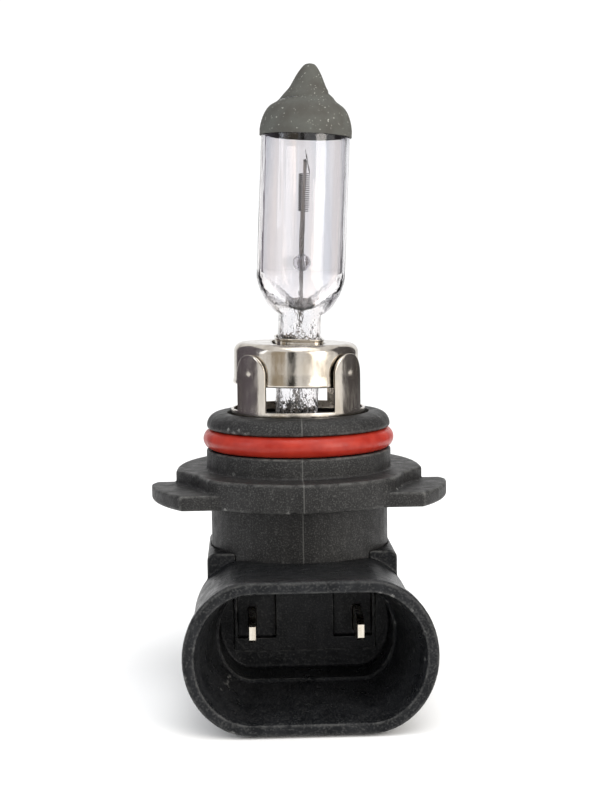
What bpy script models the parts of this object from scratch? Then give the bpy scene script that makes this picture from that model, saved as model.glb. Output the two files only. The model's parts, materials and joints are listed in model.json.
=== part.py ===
"""Headlight bulb: halogen burner, metal holder and plastic base with a two-pin connector.

Frame: millimetres through MM, +Z along the lamp, the lamp's axis at x = y = 0, z = 0 on the
connector's flat underside, and the connector's mouth towards -Y.
"""
import math

import bmesh
import bpy
from mathutils import Vector

MM = 0.001

# ---------------------------------------------------------------- driving dimensions
# Clearances
FIT = 0.06 * MM
BASE_CLEARANCE = 0.08 * MM
SEAL_CLEARANCE = 0.05 * MM
CLIP_CLEARANCE = 0.12 * MM
PASSAGE_CLEARANCE = 0.1 * MM

# Connector: the pins set its width, and the plug space sets its height
PIN_SPACING = 11.86 * MM
PIN_THICKNESS = 0.8 * MM
PIN_WIDTH = 2.8 * MM
PIN_TIP_WIDTH = 1.5 * MM
PIN_TAPER = 1.5 * MM
PIN_REACH = 5.3 * MM
PIN_ABOVE_MIDDLE = 0.15 * MM
CONNECTOR_LENGTH = 27.1 * MM
MOUTH_HEIGHT = 16.2 * MM
MOUTH_FLAT = 6.0 * MM
MOUTH_WALL = 1.38 * MM
MOUTH_RIM = 0.25 * MM
SHROUD_FLARE = 0.65 * MM
SHROUD_RISE = 1.7 * MM
SHROUD_WALL = 1.35 * MM
SHROUD_KEEL = 0.5 * MM
SHROUD_OVERLAP = 1.0 * MM
LEAD_IN_DEPTH = 5.1 * MM
LEDGE_DEPTH = 11.1 * MM
LEDGE_STEP = 0.35 * MM
LEDGE_WALL = 3.3 * MM
LEDGE_FLOOR = 2.45 * MM
BULKHEAD = 2.02 * MM

# Terminal block in the connector
BLOCK_SIDE_MARGIN = 1.97 * MM
BLOCK_SIDE_GAP = 1.7 * MM
BLOCK_LOW_GAP = 2.1 * MM
BLOCK_TOP_GAP = 0.3 * MM
BLOCK_PROUD = 0.5 * MM
BLOCK_TAIL = 2.98 * MM
POCKET_OUTSIDE = 1.67 * MM
POCKET_INSIDE = 2.73 * MM
POCKET_TOP_RIM = 0.6 * MM
POCKET_LOW_RIM = 1.4 * MM
POCKET_DEPTH = 0.9 * MM
RISER_WIDTH = 2.2 * MM
RISER_GAP = 2.6 * MM
LEAD_LAP = 4.4 * MM

# Rear of the connector, round the base's foot
COLLAR_FRONT = 7.3 * MM
COLLAR_RIM = 0.36 * MM
COLLAR_CORNER = 5.0 * MM
COLLAR_ROUND = 0.8 * MM
COLLAR_RISE = 2.6 * MM
FLOOR_THICKNESS = 1.6 * MM
SEAT_DEPTH = 1.2 * MM
COVER_MARGIN = 0.2 * MM
COVER_THICKNESS = 1.0 * MM
COVER_LIP = 0.9 * MM
COVER_EDGE = 1.5 * MM

# Plastic base, from its foot upwards
BARREL_RADIUS = 11.0 * MM
CYLINDER_STEP = 0.44 * MM
SPIGOT_STEP = 1.36 * MM
CYLINDER_LENGTH = 5.65 * MM
FLANGE_THICKNESS = 3.32 * MM
FLANGE_SIDE = 3.65 * MM
FLANGE_FRONT = 3.3 * MM
FLANGE_REAR = 5.2 * MM
FLANGE_EDGE = 0.2 * MM
FLANGE_GROOVE = 0.25 * MM
LUG_THICKNESS = 1.75 * MM
LUG_LENGTH = 6.6 * MM
LUG_INSET = 0.1 * MM
LUG_CORNER = 0.5 * MM
LUG_NOTCH = 0.9 * MM
NOTCH_START = 2.2 * MM
BACK_LUG_HALF_WIDTH = 4.4 * MM
BARREL_HEIGHT = 6.73 * MM
BOSS_STEP = 0.07 * MM
BOSS_FILLET = 1.5 * MM
BOSS_LOWER_FILLET = 0.3 * MM
BOSS_LAND = 1.0 * MM
RECESS_DEPTH = 0.85 * MM
THROAT_DEPTH = 1.5 * MM
THROAT_MARGIN = 1.15 * MM
CORE_MARGIN = 0.27 * MM
PLUG_STEP = 0.3 * MM
PLUG_DEPTH = 7.2 * MM
PLUG_HEIGHT = 4.6 * MM
LEAD_INSET = 2.33 * MM

# Seal
SEAL_SECTION = 2.4 * MM
SEAL_DROP = 3.1 * MM
SEAL_PROUD = 0.36 * MM

# Metal holder
RECESS_GAP = 0.2 * MM
RING_FOOT_WIDTH = 0.25 * MM
RING_FOOT_GAP = 0.06 * MM
RING_WALL = 0.33 * MM
RING_CLEARANCE = 0.22 * MM
STRIP_HEIGHT = 1.29 * MM
TAB_HEIGHT = 7.89 * MM
TAB_ANGLE_DEG = 47.5
TAB_HALF_ANGLE_DEG = 17.0
TAB_ROUND = 2.3 * MM
CAN_LIFT = 3.3 * MM
CAN_HEIGHT = 4.9 * MM
CAN_WALL = 0.35 * MM
CAN_FILLET = 1.1 * MM
CAN_LIP = 0.05 * MM
CAN_LIP_HEIGHT = 0.4 * MM
CAN_SHIFT = 0.15 * MM
CAN_LEAN_DEG = 1.2
CLIP_WALL = 0.25 * MM
CLIP_PROUD = 0.6 * MM
CLIP_HEIGHT = 4.0 * MM
CLIP_FLARE = 0.12 * MM

# Burner, upright before it leans, from the pinch upwards
BURNER_LEAN_DEG = 2.75
LEAN_PIVOT_LIFT = 5.2 * MM
TUBE_RADIUS = 5.25 * MM
GLASS_WALL = 0.62 * MM
PINCH_HALF_THICKNESS = 2.45 * MM
PINCH_INSET = 0.55 * MM
PINCH_SINK = 1.6 * MM
PINCH_LENGTH = 13.2 * MM
SHOULDER_HEIGHT = 4.5 * MM
TUBE_LENGTH = 17.0 * MM
DOME_HEIGHT = 7.55 * MM
CAVITY_LIFT = 1.2 * MM
CAVITY_DOME = 3.3 * MM
COATING_SKIRT = 0.75 * MM
COATING_THICKNESS = 0.14 * MM
COATING_GAP = 0.03 * MM

# Filament, leads and seals in the pinch
COIL_LIFT = 8.4 * MM
COIL_LENGTH = 4.4 * MM
COIL_RADIUS = 0.6 * MM
COIL_WIRE = 0.13 * MM
COIL_TURNS = 18
COIL_TAIL_DROPS = (0.9 * MM, 0.3 * MM)
COIL_TAIL_BEND = 0.5 * MM

# Shapes: shares of the dome (across, up), of the glass shoulder and of the cavity's floor,
# the shroud's flare (distance from the mouth, share), the lugs' roots and the leads' bends
DOME_SHARES = [(1.0, 0.0), (0.97, 0.12), (0.9, 0.25), (0.8, 0.345), (0.63, 0.43), (0.51, 0.53),
               (0.4, 0.625), (0.33, 0.72), (0.26, 0.82), (0.17, 0.92), (0.09, 0.98), (0.0, 1.0)]
SHOULDER_FALL = 1.7
SHOULDER_FULLNESS = 0.7
CAVITY_FLOOR_SHARE = 0.3
SHROUD_STAGES = [(12 * MM, 0.06), (8 * MM, 0.25), (4.5 * MM, 0.62), (2 * MM, 0.93)]
FLANGE_POWER = 2.2
LUG_ROOT_SHARES = (0.75, 0.85)
LUG_ROOT_BACK = 3 * MM
LONG_LEAD_CLEAR = 3.5 * MM
LONG_LEAD_BEND = 1.5 * MM
LONG_LEAD_TOP = 0.2 * MM
LONG_LEAD_HOOK = (0.2 * MM, 0.45 * MM, 0.65 * MM)
SHORT_LEAD_CLEAR = 3.0 * MM
SHORT_LEAD_BEND = 1.8 * MM
SHORT_LEAD_END = 0.5 * MM
BEAD_END_DEG = 70
OUTER_LEAD_INSET = 0.2 * MM
OUTER_LEAD_EXIT = 0.3 * MM
OUTER_LEAD_SWAY = (0.6, 0.5)
OUTER_LEAD_ABOVE_PLUG = 0.8 * MM
OUTER_LEAD_BELOW_PLUG = 0.6 * MM
OUTER_LEAD_ABOVE_RISER = 0.4 * MM
TAB_FOOT_DEG = 0.4
TAIL_LENGTH = 2.2 * MM
LEAD_DIAMETER = 0.4 * MM
LEAD_SPREAD = 1.5 * MM
LEAD_ROOT = 1.8 * MM
FOIL_ROOT_GAP = 0.2 * MM
FOIL_LENGTH = 6.4 * MM
FOIL_WIDTH = 1.7 * MM
FOIL_THICKNESS = 0.1 * MM
BEAD_RADIUS = 1.05 * MM
BEAD_LIFT = 1.5 * MM
OUTER_LEAD_DIAMETER = 0.6 * MM

# ---------------------------------------------------------------- widths that follow
PIN_X = PIN_SPACING / 2
INSERT_HALF_WIDTH = PIN_X + BLOCK_SIDE_MARGIN
LEDGE_HALF_WIDTH = INSERT_HALF_WIDTH + BLOCK_SIDE_GAP + LEDGE_STEP
MOUTH_HALF_WIDTH = LEDGE_HALF_WIDTH + LEDGE_WALL
SHROUD_REAR_HALF_WIDTH = MOUTH_HALF_WIDTH - SHROUD_FLARE
BOSS_RADIUS = BARREL_RADIUS - BOSS_STEP
CYLINDER_RADIUS = BARREL_RADIUS - CYLINDER_STEP
SPIGOT_RADIUS = CYLINDER_RADIUS - SPIGOT_STEP
CHAMBER_RADIUS = SPIGOT_RADIUS + BASE_CLEARANCE
COLLAR_HALF_WIDTH = CYLINDER_RADIUS + BASE_CLEARANCE + COLLAR_RIM
COVER_HALF_WIDTH = COLLAR_HALF_WIDTH - COLLAR_CORNER - COVER_MARGIN
GROOVE_RADIUS = BARREL_RADIUS + SEAL_PROUD - SEAL_SECTION - SEAL_CLEARANCE
CORE_LOW_RADIUS = math.hypot(PIN_X + PIN_THICKNESS / 2, RISER_WIDTH / 2) + CORE_MARGIN
CORE_RADIUS = CORE_LOW_RADIUS + PLUG_STEP
PLUG_LEAD_X = PIN_X - LEAD_INSET
RECESS_RADIUS = BOSS_RADIUS - BOSS_FILLET - BOSS_LAND
RING_OUTER = RECESS_RADIUS - RECESS_GAP - RING_FOOT_WIDTH
RING_INNER = RING_OUTER - RING_WALL
CAN_RADIUS = RING_INNER - RING_CLEARANCE
PINCH_HALF_WIDTH = TUBE_RADIUS - PINCH_INSET
THROAT_RADIUS = PINCH_HALF_WIDTH + THROAT_MARGIN

# ---------------------------------------------------------------- places that follow
MOUTH_Y = -CONNECTOR_LENGTH
SOCKET_BACK_Y = -CHAMBER_RADIUS - BULKHEAD
INSERT_FRONT_Y = SOCKET_BACK_Y - BLOCK_PROUD
INSERT_REAR_Y = BLOCK_TAIL - CHAMBER_RADIUS
SHROUD_REAR_TOP_Z = MOUTH_HEIGHT - SHROUD_RISE
PIN_Z = MOUTH_HEIGHT / 2 + PIN_ABOVE_MIDDLE
INSERT_LOW_Z = LEDGE_FLOOR + LEDGE_STEP + BLOCK_LOW_GAP
INSERT_TOP_Z = SHROUD_REAR_TOP_Z - SHROUD_WALL - LEDGE_STEP - BLOCK_TOP_GAP
COLLAR_TOP_Z = INSERT_TOP_Z + COLLAR_RISE
SEAT_Z = COLLAR_TOP_Z - SEAT_DEPTH
SPIGOT_LOW_Z = INSERT_TOP_Z + 3 * FIT
FLANGE_LOW_Z = COLLAR_TOP_Z + CYLINDER_LENGTH
FLANGE_TOP_Z = FLANGE_LOW_Z + FLANGE_THICKNESS
BOSS_TOP_Z = FLANGE_TOP_Z + BARREL_HEIGHT
RECESS_Z = BOSS_TOP_Z - RECESS_DEPTH
SEAL_Z = BOSS_TOP_Z - SEAL_DROP
PLUG_TOP_Z = BOSS_TOP_Z - PLUG_DEPTH
PLUG_LOW_Z = PLUG_TOP_Z - PLUG_HEIGHT
RISER_TOP_Z = PLUG_LOW_Z - RISER_GAP
RING_LOW_Z = RECESS_Z + RING_FOOT_GAP
CAN_LOW_Z = BOSS_TOP_Z + CAN_LIFT
CAN_TOP_Z = CAN_LOW_Z + CAN_HEIGHT
LEAN_PIVOT_Z = BOSS_TOP_Z + LEAN_PIVOT_LIFT
PINCH_LOW_Z = BOSS_TOP_Z - PINCH_SINK
PINCH_TOP_Z = PINCH_LOW_Z + PINCH_LENGTH
CAVITY_FLOOR_Z = PINCH_TOP_Z + CAVITY_LIFT
SHOULDER_Z = PINCH_TOP_Z + SHOULDER_HEIGHT
DOME_Z = SHOULDER_Z + TUBE_LENGTH
COIL_LOW_Z = SHOULDER_Z + COIL_LIFT
COIL_TOP_Z = COIL_LOW_Z + COIL_LENGTH
BEAD_Z = SHOULDER_Z + BEAD_LIFT
LEAD_LOW_Z = PINCH_TOP_Z - LEAD_ROOT
FOIL_TOP_Z = LEAD_LOW_Z - FOIL_ROOT_GAP
FOIL_LOW_Z = FOIL_TOP_Z - FOIL_LENGTH

# ---------------------------------------------------------------- fineness of round shapes
ROUND_STEPS = 64
GLASS_STEPS = 40
SLEEVE_POWER = 6
OVAL_STEPS = 28
SLEEVE_STEPS = 32
WIRE_SIDES = 6
HOLE_SIDES = 12
COIL_STEPS = 10
COIL_SIDES = 5
BEAD_STEPS = 16
TAB_STEPS = 10
STRIP_STEP_DEG = 8
FLANGE_STEPS = 28
ARC_STEPS = 9
SEAL_STEPS = 12
FRONT_DEG = -90.0
SHARP_DEG = 35.0
TINY = 1e-7
THROUGH = 1.0 * MM


# ---------------------------------------------------------------- helpers
def clear_scene():
    for obj in list(bpy.data.objects):
        bpy.data.objects.remove(obj, do_unlink=True)


def make_material(name, colour, roughness, metallic=0.0, transmission=0.0):
    material = bpy.data.materials.new(name)
    material.use_nodes = True
    shader = material.node_tree.nodes["Principled BSDF"]
    shader.inputs["Base Color"].default_value = (*colour, 1.0)
    shader.inputs["Roughness"].default_value = roughness
    shader.inputs["Metallic"].default_value = metallic
    shader.inputs["Transmission Weight"].default_value = transmission
    material.diffuse_color = (*colour, 1.0)
    return material


def place(bm, name, material, parent=None):
    """Turns a bmesh into a smooth-shaded object, with sharp edges kept sharp."""
    bmesh.ops.recalc_face_normals(bm, faces=bm.faces)
    mesh = bpy.data.meshes.new(name)
    bm.to_mesh(mesh)
    bm.free()
    mesh.shade_smooth()
    mesh.set_sharp_from_angle(angle=math.radians(SHARP_DEG))
    obj = bpy.data.objects.new(name, mesh)
    bpy.context.collection.objects.link(obj)
    if material:
        mesh.materials.append(material)
    if parent:
        obj.parent = parent
        obj.location.z = -parent.location.z
    return obj


def combine(obj, other, operation):
    """Adds or subtracts a helper body, which itself isn't part of the bulb."""
    other.hide_render = True
    other.display_type = "WIRE"
    modifier = obj.modifiers.new(operation.title() + "_" + other.name, "BOOLEAN")
    modifier.operation = operation
    modifier.object = other


def arc(centre, radius, start_deg, end_deg, steps):
    turn = [math.radians(start_deg + (end_deg - start_deg) * i / steps) for i in range(steps + 1)]
    return [(centre[0] + radius * math.cos(a), centre[1] + radius * math.sin(a)) for a in turn]


def lathe(outline, steps):
    """Turns a closed outline of (radius, z) points; points at radius 0 become poles."""
    bm = bmesh.new()
    rings = []
    for radius, z in outline:
        if radius < TINY:
            rings.append([bm.verts.new((0.0, 0.0, z))])
            continue
        angles = [2 * math.pi * i / steps for i in range(steps)]
        rings.append([bm.verts.new((radius * math.cos(a), radius * math.sin(a), z)) for a in angles])
    for ring, following in zip(rings, rings[1:] + rings[:1]):
        bridge(bm, ring, following)
    return bm


def bridge(bm, ring, following):
    """Joins two rings of points, either of which may be a single pole."""
    count = max(len(ring), len(following))
    if count == 1:
        return
    for i in range(count):
        j = (i + 1) % count
        corners = [ring[i % len(ring)], ring[j % len(ring)]]
        corners += [following[j % len(following)], following[i % len(following)]]
        bm.faces.new(list(dict.fromkeys(corners)))


def loft(sections):
    """Closed body through rings of equally many points."""
    bm = bmesh.new()
    rings = [[bm.verts.new(point) for point in section] for section in sections]
    for ring, following in zip(rings, rings[1:]):
        bridge(bm, ring, following)
    bm.faces.new(rings[0])
    bm.faces.new(rings[-1])
    return bm


def loop_loft(sections):
    """Ring-shaped body through sections, the last of which joins the first."""
    bm = bmesh.new()
    rings = [[bm.verts.new(point) for point in section] for section in sections]
    for ring, following in zip(rings, rings[1:] + rings[:1]):
        bridge(bm, ring, following)
    return bm


def prism(outline, low, high):
    return loft([[(x, y, z) for x, y in outline] for z in (low, high)])


def box(low, high):
    (x0, y0, z0), (x1, y1, z1) = low, high
    return prism([(x0, y0), (x1, y0), (x1, y1), (x0, y1)], z0, z1)


def squarish(half_x, half_y, power, steps):
    """Closed outline between an ellipse (power 2) and a rectangle (high power)."""
    points = []
    for i in range(steps):
        a = 2 * math.pi * i / steps
        c, s = math.cos(a), math.sin(a)
        x = half_x * math.copysign(abs(c) ** (2 / power), c)
        y = half_y * math.copysign(abs(s) ** (2 / power), s)
        points.append((x, y))
    return points


def tube(path, diameter, sides=WIRE_SIDES):
    """Round wire along a list of points, with flat ends."""
    points = [Vector(point) for point in path]
    bm = bmesh.new()
    rings = []
    across = None
    for i, point in enumerate(points):
        ahead = (points[min(i + 1, len(points) - 1)] - points[max(i - 1, 0)]).normalized()
        if across is None:
            across = ahead.orthogonal().normalized()
        across = (across - ahead * across.dot(ahead)).normalized()
        up = ahead.cross(across)
        ring = []
        for k in range(sides):
            a = 2 * math.pi * k / sides
            offset = across * math.cos(a) + up * math.sin(a)
            ring.append(bm.verts.new(point + offset * diameter / 2))
        rings.append(ring)
    for ring, following in zip(rings, rings[1:]):
        bridge(bm, ring, following)
    bm.faces.new(rings[0])
    bm.faces.new(rings[-1])
    return bm


def smooth_path(points, steps):
    """Catmull-Rom curve through the points."""
    knots = [Vector(p) for p in points]
    knots = [2 * knots[0] - knots[1]] + knots + [2 * knots[-1] - knots[-2]]
    path = []
    for a, b, c, d in zip(knots, knots[1:], knots[2:], knots[3:]):
        for i in range(steps):
            t = i / steps
            path.append(0.5 * (2 * b + (c - a) * t + (2 * a - 5 * b + 4 * c - d) * t * t
                               + (3 * b - a - 3 * c + d) * t ** 3))
    return path + [knots[-2]]


# ---------------------------------------------------------------- burner
def burner_axis():
    """Empty at the pinch, which leans the whole burner towards +X."""
    axis = bpy.data.objects.new("burner_axis", None)
    bpy.context.collection.objects.link(axis)
    axis.location.z = LEAN_PIVOT_Z
    axis.rotation_euler.y = math.radians(BURNER_LEAN_DEG)
    return axis


def dome_outline():
    """Outer outline of the glass above the tube, from the tube up to the exhaust tip."""
    return [(TUBE_RADIUS * across, DOME_Z + DOME_HEIGHT * up) for across, up in DOME_SHARES]


def grown(outline, distance):
    """The outline moved outwards along its own normals."""
    moved = []
    for i, (radius, z) in enumerate(outline):
        before = outline[max(i - 1, 0)]
        after = outline[min(i + 1, len(outline) - 1)]
        along = Vector((after[0] - before[0], after[1] - before[1])).normalized()
        if radius < TINY:
            moved.append((0.0, z + distance))
        else:
            moved.append((radius + along.y * distance, z - along.x * distance))
    return moved


def shoulder_share(z, low, high):
    """How far the shoulder has opened at height z: 0 at low, 1 at high."""
    down = min(max((high - z) / (high - low), 0.0), 1.0)
    return (1 - down ** SHOULDER_FALL) ** SHOULDER_FULLNESS


def glass_section(z):
    """Section of the glass that narrows from the round tube into the flat pinch."""
    share = shoulder_share(z, PINCH_TOP_Z, SHOULDER_Z)
    half_x = PINCH_HALF_THICKNESS + (TUBE_RADIUS - PINCH_HALF_THICKNESS) * share
    half_y = PINCH_HALF_WIDTH + (TUBE_RADIUS - PINCH_HALF_WIDTH) * share
    power = 2 + 4 * (1 - share)
    return [(x, y, z) for x, y in squarish(half_x, half_y, power, GLASS_STEPS)]


def ring_at(radius, z):
    return [(x, y, z) for x, y in squarish(radius, radius, 2, GLASS_STEPS)]


def make_glass(parent, material):
    heights = [PINCH_TOP_Z + (SHOULDER_Z - PINCH_TOP_Z) * i / 8 for i in range(9)]
    sections = [glass_section(z) for z in [PINCH_LOW_Z] + heights]
    sections += [ring_at(max(radius, FIT / 2), z) for radius, z in dome_outline()]
    glass = place(loft(sections), "glass_envelope", material, parent)
    combine(glass, make_cavity(parent), "DIFFERENCE")
    for name, side in (("front", -1), ("back", 1)):
        combine(glass, make_passage("passage_" + name, side, parent), "DIFFERENCE")
    return glass


def make_cavity(parent):
    """The gas space: a narrow round floor, the tube's bore and the dome's inside."""
    bore = TUBE_RADIUS - GLASS_WALL
    floor = CAVITY_FLOOR_SHARE
    top = DOME_Z + CAVITY_DOME
    heights = [CAVITY_FLOOR_Z + (SHOULDER_Z + GLASS_WALL - CAVITY_FLOOR_Z) * i / 6 for i in range(7)]
    outline = [(0.0, heights[0])]
    for z in heights:
        share = shoulder_share(z, heights[0], heights[-1])
        outline.append((bore * (floor + (1 - floor) * share), z))
    outline += [(bore * math.cos(a), DOME_Z + CAVITY_DOME * math.sin(a))
                for a in [math.radians(15 * i) for i in range(6)]]
    outline.append((0.0, top))
    return place(lathe(outline, GLASS_STEPS), "gas_space", None, parent)


def make_passage(name, side, parent):
    """Flat slot through the pinch for one lead and its foil, open at both ends."""
    half_x = LEAD_DIAMETER / 2 + PASSAGE_CLEARANCE + OUTER_LEAD_DIAMETER / 4
    half_y = FOIL_WIDTH / 2 + PASSAGE_CLEARANCE
    y = side * LEAD_SPREAD
    low = (-half_x, y - half_y, PINCH_LOW_Z - THROUGH)
    high = (half_x, y + half_y, CAVITY_FLOOR_Z + GLASS_WALL)
    return place(box(low, high), name, None, parent)


def make_coating(parent, material):
    skirt = [(TUBE_RADIUS, DOME_Z - COATING_SKIRT)] + dome_outline()
    inner = grown(skirt, COATING_GAP)
    outer = grown(skirt, COATING_GAP + COATING_THICKNESS)
    return place(lathe(outer + inner[::-1], GLASS_STEPS), "antiglare_coating", material, parent)


def make_coil(parent, material):
    """Axial coil; its top tail stands straight up, its bottom tail runs down beside the back lead."""
    steps = COIL_STEPS
    total = COIL_TURNS * steps
    path = [(0.0, COIL_RADIUS, COIL_LOW_Z - drop) for drop in COIL_TAIL_DROPS]
    for i in range(total + 1):
        a = math.radians(90) + 2 * math.pi * i / steps
        z = COIL_LOW_Z + COIL_LENGTH * i / total
        path.append((COIL_RADIUS * math.cos(a), COIL_RADIUS * math.sin(a), z))
    path += [(0.0, COIL_RADIUS / 2, COIL_TOP_Z + COIL_TAIL_BEND), (0.0, 0.0, COIL_TOP_Z + TAIL_LENGTH)]
    return place(tube(path, COIL_WIRE, COIL_SIDES), "filament_coil", material, parent)


def make_long_lead(parent, material):
    """Front lead: up in front of the coil and back over its top, short of the tail."""
    touch = LEAD_DIAMETER / 2 + COIL_WIRE
    front = -COIL_RADIUS - LEAD_DIAMETER - COIL_WIRE
    hook_back, hook_low, hook_high = LONG_LEAD_HOOK
    points = [
        (0.0, -LEAD_SPREAD, LEAD_LOW_Z),
        (0.0, -LEAD_SPREAD, BEAD_Z),
        (0.0, -LEAD_SPREAD, BEAD_Z + LONG_LEAD_CLEAR),
        (0.0, front, COIL_LOW_Z - LONG_LEAD_BEND),
        (0.0, front, COIL_TOP_Z - LONG_LEAD_TOP),
        (0.0, front + hook_back, COIL_TOP_Z + hook_low),
        (0.0, -touch, COIL_TOP_Z + hook_high),
    ]
    return place(tube(smooth_path(points, 4), LEAD_DIAMETER), "long_support_lead", material, parent)


def make_short_lead(parent, material):
    """Back lead: up to the coil's bottom tail, which lies against it."""
    touch = COIL_RADIUS + LEAD_DIAMETER / 2 + COIL_WIRE
    points = [
        (0.0, LEAD_SPREAD, LEAD_LOW_Z),
        (0.0, LEAD_SPREAD, BEAD_Z),
        (0.0, LEAD_SPREAD, BEAD_Z + SHORT_LEAD_CLEAR),
        (0.0, touch, COIL_LOW_Z - SHORT_LEAD_BEND),
        (0.0, touch, COIL_LOW_Z - SHORT_LEAD_END),
    ]
    return place(tube(smooth_path(points, 4), LEAD_DIAMETER), "short_support_lead", material, parent)


def make_bead(parent, material):
    """Glass bead that the two leads pass through, so that they keep their distance."""
    half_length = LEAD_SPREAD + BEAD_RADIUS
    outline = [(0.0, -half_length)]
    outline += arc((0.0, -LEAD_SPREAD), BEAD_RADIUS, -BEAD_END_DEG, 0, 4)
    outline += arc((0.0, LEAD_SPREAD), BEAD_RADIUS, 0, BEAD_END_DEG, 4)
    outline += [(0.0, half_length)]
    bm = lathe(outline, BEAD_STEPS)
    for vert in bm.verts:
        x, y, z = vert.co
        vert.co = (x, z, y + BEAD_Z)
    bead = place(bm, "lead_bead", material, parent)
    for name, side in (("front", -1), ("back", 1)):
        hole = [(0.0, side * LEAD_SPREAD, BEAD_Z + rise) for rise in (-2 * BEAD_RADIUS, 2 * BEAD_RADIUS)]
        diameter = LEAD_DIAMETER + 2 * PASSAGE_CLEARANCE
        cutter = place(tube(hole, diameter, HOLE_SIDES), "bead_hole_" + name, None, parent)
        combine(bead, cutter, "DIFFERENCE")
    return bead


def make_foil(name, side, parent, material):
    low = (-FOIL_THICKNESS / 2, side * LEAD_SPREAD - FOIL_WIDTH / 2, FOIL_LOW_Z)
    high = (FOIL_THICKNESS / 2, side * LEAD_SPREAD + FOIL_WIDTH / 2, FOIL_TOP_Z)
    return place(box(low, high), name, material, parent)


def leaned(x, y, z):
    """A point of the upright burner, moved to where the leaning burner holds it."""
    a = math.radians(BURNER_LEAN_DEG)
    rise = z - LEAN_PIVOT_Z
    return (x * math.cos(a) + rise * math.sin(a), y, LEAN_PIVOT_Z - x * math.sin(a) + rise * math.cos(a))


def make_outer_lead(name, side, material):
    """From the pinch, through the sealing plug, down the inner face of its terminal."""
    beside_pin = side * (PIN_X - PIN_THICKNESS / 2 - OUTER_LEAD_DIAMETER / 2 - FIT)
    plug_x = side * PLUG_LEAD_X
    sway_x, sway_y = OUTER_LEAD_SWAY
    points = [
        leaned(0.0, -side * LEAD_SPREAD, FOIL_LOW_Z - OUTER_LEAD_INSET),
        leaned(0.0, -side * LEAD_SPREAD, PINCH_LOW_Z - OUTER_LEAD_EXIT),
        (plug_x * sway_x, -side * LEAD_SPREAD * sway_y, (PINCH_LOW_Z + PLUG_TOP_Z) / 2),
        (plug_x, 0.0, PLUG_TOP_Z + OUTER_LEAD_ABOVE_PLUG),
        (plug_x, 0.0, PLUG_LOW_Z - OUTER_LEAD_BELOW_PLUG),
        (beside_pin, 0.0, RISER_TOP_Z + OUTER_LEAD_ABOVE_RISER),
        (beside_pin, 0.0, RISER_TOP_Z - LEAD_LAP),
    ]
    path = []
    for start, end in zip(points, points[1:]):
        path += [tuple(Vector(start).lerp(Vector(end), i / 3)) for i in range(3)]
    return place(tube(path + [points[-1]], OUTER_LEAD_DIAMETER), name, material)


# ---------------------------------------------------------------- metal holder
def sleeve_half_sizes(extra):
    return (PINCH_HALF_THICKNESS + extra, PINCH_HALF_WIDTH + extra)


def make_can(material):
    """Inverted cup over the pinch, a little off centre and leaning inside the holder's tabs."""
    inner = CAN_RADIUS - CAN_WALL
    lip = CAN_RADIUS + CAN_LIP
    centre = (CAN_RADIUS - CAN_FILLET, CAN_TOP_Z - CAN_FILLET)
    outline = [(0.0, CAN_TOP_Z)] + arc(centre, CAN_FILLET, 90, 0, 5)
    outline += [(CAN_RADIUS, CAN_LOW_Z + 1.5 * CAN_LIP_HEIGHT), (lip, CAN_LOW_Z + CAN_LIP_HEIGHT)]
    outline += [(lip, CAN_LOW_Z + CAN_LIP_HEIGHT / 4), (CAN_RADIUS - 2 * CAN_LIP, CAN_LOW_Z)]
    outline += [(inner, CAN_LOW_Z)] + arc(centre, CAN_FILLET - CAN_WALL, 0, 90, 5)
    outline.append((0.0, CAN_TOP_Z - CAN_WALL))
    lean = bpy.data.objects.new("can_axis", None)
    bpy.context.collection.objects.link(lean)
    lean.location = (0.0, 0.0, CAN_TOP_Z - CAN_HEIGHT / 2)
    lean.rotation_euler.y = math.radians(CAN_LEAN_DEG)
    can = place(lathe(outline, ROUND_STEPS), "burner_can", material, lean)
    can.location.x = -CAN_SHIFT
    half_x, half_y = sleeve_half_sizes(2 * CLIP_CLEARANCE + CLIP_WALL)
    outline = [(x, y) for x, y in squarish(half_x, half_y, SLEEVE_POWER, SLEEVE_STEPS)]
    slot = prism(outline, CAN_TOP_Z - CLIP_HEIGHT, CAN_TOP_Z + THROUGH)
    combine(can, place(slot, "can_slot", None, lean), "DIFFERENCE")
    return can


def make_clip(parent, material):
    """Sheet sleeve around the pinch, with a lip that flares above the can."""
    half_x, half_y = sleeve_half_sizes(CLIP_CLEARANCE)
    top = CAN_TOP_Z + CLIP_PROUD
    levels = [(0.0, top - CLIP_HEIGHT), (0.0, top - 3 * CLIP_FLARE), (CLIP_FLARE, top)]
    outer = [sleeve_ring(half_x + CLIP_WALL + flare, half_y + CLIP_WALL + flare, z) for flare, z in levels]
    inner = [sleeve_ring(half_x + flare, half_y + flare, z) for flare, z in levels]
    return place(loop_loft(outer + inner[::-1]), "pinch_clip", material, parent)


def sleeve_ring(half_x, half_y, z):
    return [(x, y, z) for x, y in squarish(half_x, half_y, SLEEVE_POWER, SLEEVE_STEPS)]


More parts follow.
